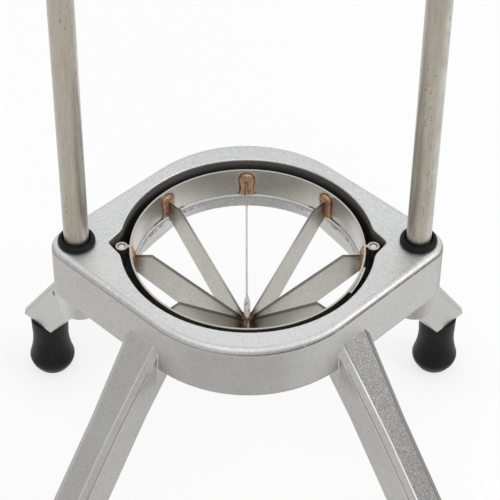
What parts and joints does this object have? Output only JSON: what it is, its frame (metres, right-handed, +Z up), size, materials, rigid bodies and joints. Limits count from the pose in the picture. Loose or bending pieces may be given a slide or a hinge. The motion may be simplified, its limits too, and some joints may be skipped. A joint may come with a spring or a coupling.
{
  "type": "fruit wedger press",
  "caption": "Hand press on a splayed-leg cast stand that slides down two guide rods and pushes an apple through radial blades to cut it into wedges.",
  "frame": {"origin": "on the floor under the middle of the blade cup", "axes": "+Z up along the guide rods, +X through the guide rods to the right seen from the front, +Y to the back"},
  "size_m": [0.42, 0.2632, 0.5142],
  "materials": {
    "cast_aluminium": "as cast, lightly polished on the edges",
    "rod_steel": "drawn along its length",
    "blade_steel": "rolled strip with ground edges",
    "braze": "dull brown filler",
    "zinc_steel": "zinc plated",
    "black_rubber": "moulded",
    "nylon": "turned",
    "grip_plastic": "moulded",
    "pusher_plastic": "moulded"
  },
  "bodies": {
    "stand": {"base_casting": "cast_aluminium", "foot_front_left": "black_rubber", "foot_front_right": "black_rubber", "foot_back_left": "black_rubber", "foot_back_right": "black_rubber", "guide_rod_left": "rod_steel", "guide_rod_right": "rod_steel", "rod_bumper_left": "black_rubber", "rod_bumper_right": "black_rubber", "stop_bumper_left": "black_rubber", "stop_bumper_right": "black_rubber", "rod_bolts": "zinc_steel", "rod_washers": "zinc_steel", "stop_washers": "zinc_steel", "stop_screws": "zinc_steel", "locating_pins": "zinc_steel", "cup_ring": "blade_steel", "cup_ear_left": "blade_steel", "cup_ear_right": "blade_steel", "centre_spike": "blade_steel", "braze_joints": "braze", "blade_1": "blade_steel", "blade_2": "blade_steel", "blade_3": "blade_steel", "blade_4": "blade_steel", "blade_5": "blade_steel", "blade_6": "blade_steel", "blade_7": "blade_steel", "blade_8": "blade_steel"},
    "head": {"crosshead": "cast_aluminium", "bushing_lower_left": "nylon", "bushing_lower_right": "nylon", "bushing_upper_left": "nylon", "bushing_upper_right": "nylon", "handle_grip_left": "grip_plastic", "handle_grip_right": "grip_plastic", "push_plate": "pusher_plastic", "push_finger_1": "pusher_plastic", "push_finger_2": "pusher_plastic", "push_finger_3": "pusher_plastic", "push_finger_4": "pusher_plastic", "push_finger_5": "pusher_plastic", "push_finger_6": "pusher_plastic", "push_finger_7": "pusher_plastic", "push_finger_8": "pusher_plastic"},
    "thumb_front": {"thumb_screw_front": "zinc_steel"},
    "thumb_back": {"thumb_screw_back": "zinc_steel"}
  },
  "joints": [
    {"name": "head_slide", "type": "slide", "parent": "stand", "child": "head", "axis": [0, 0, 1], "range_m": [-0.2526, 0]},
    {"name": "thumb_front_turn", "type": "hinge", "parent": "head", "child": "thumb_front", "pos_m": [0, -0.023, 0.4719], "axis": [0, 0, 1], "continuous": true},
    {"name": "thumb_back_turn", "type": "hinge", "parent": "head", "child": "thumb_back", "pos_m": [0, 0.023, 0.4719], "axis": [0, 0, 1], "continuous": true}
  ]
}
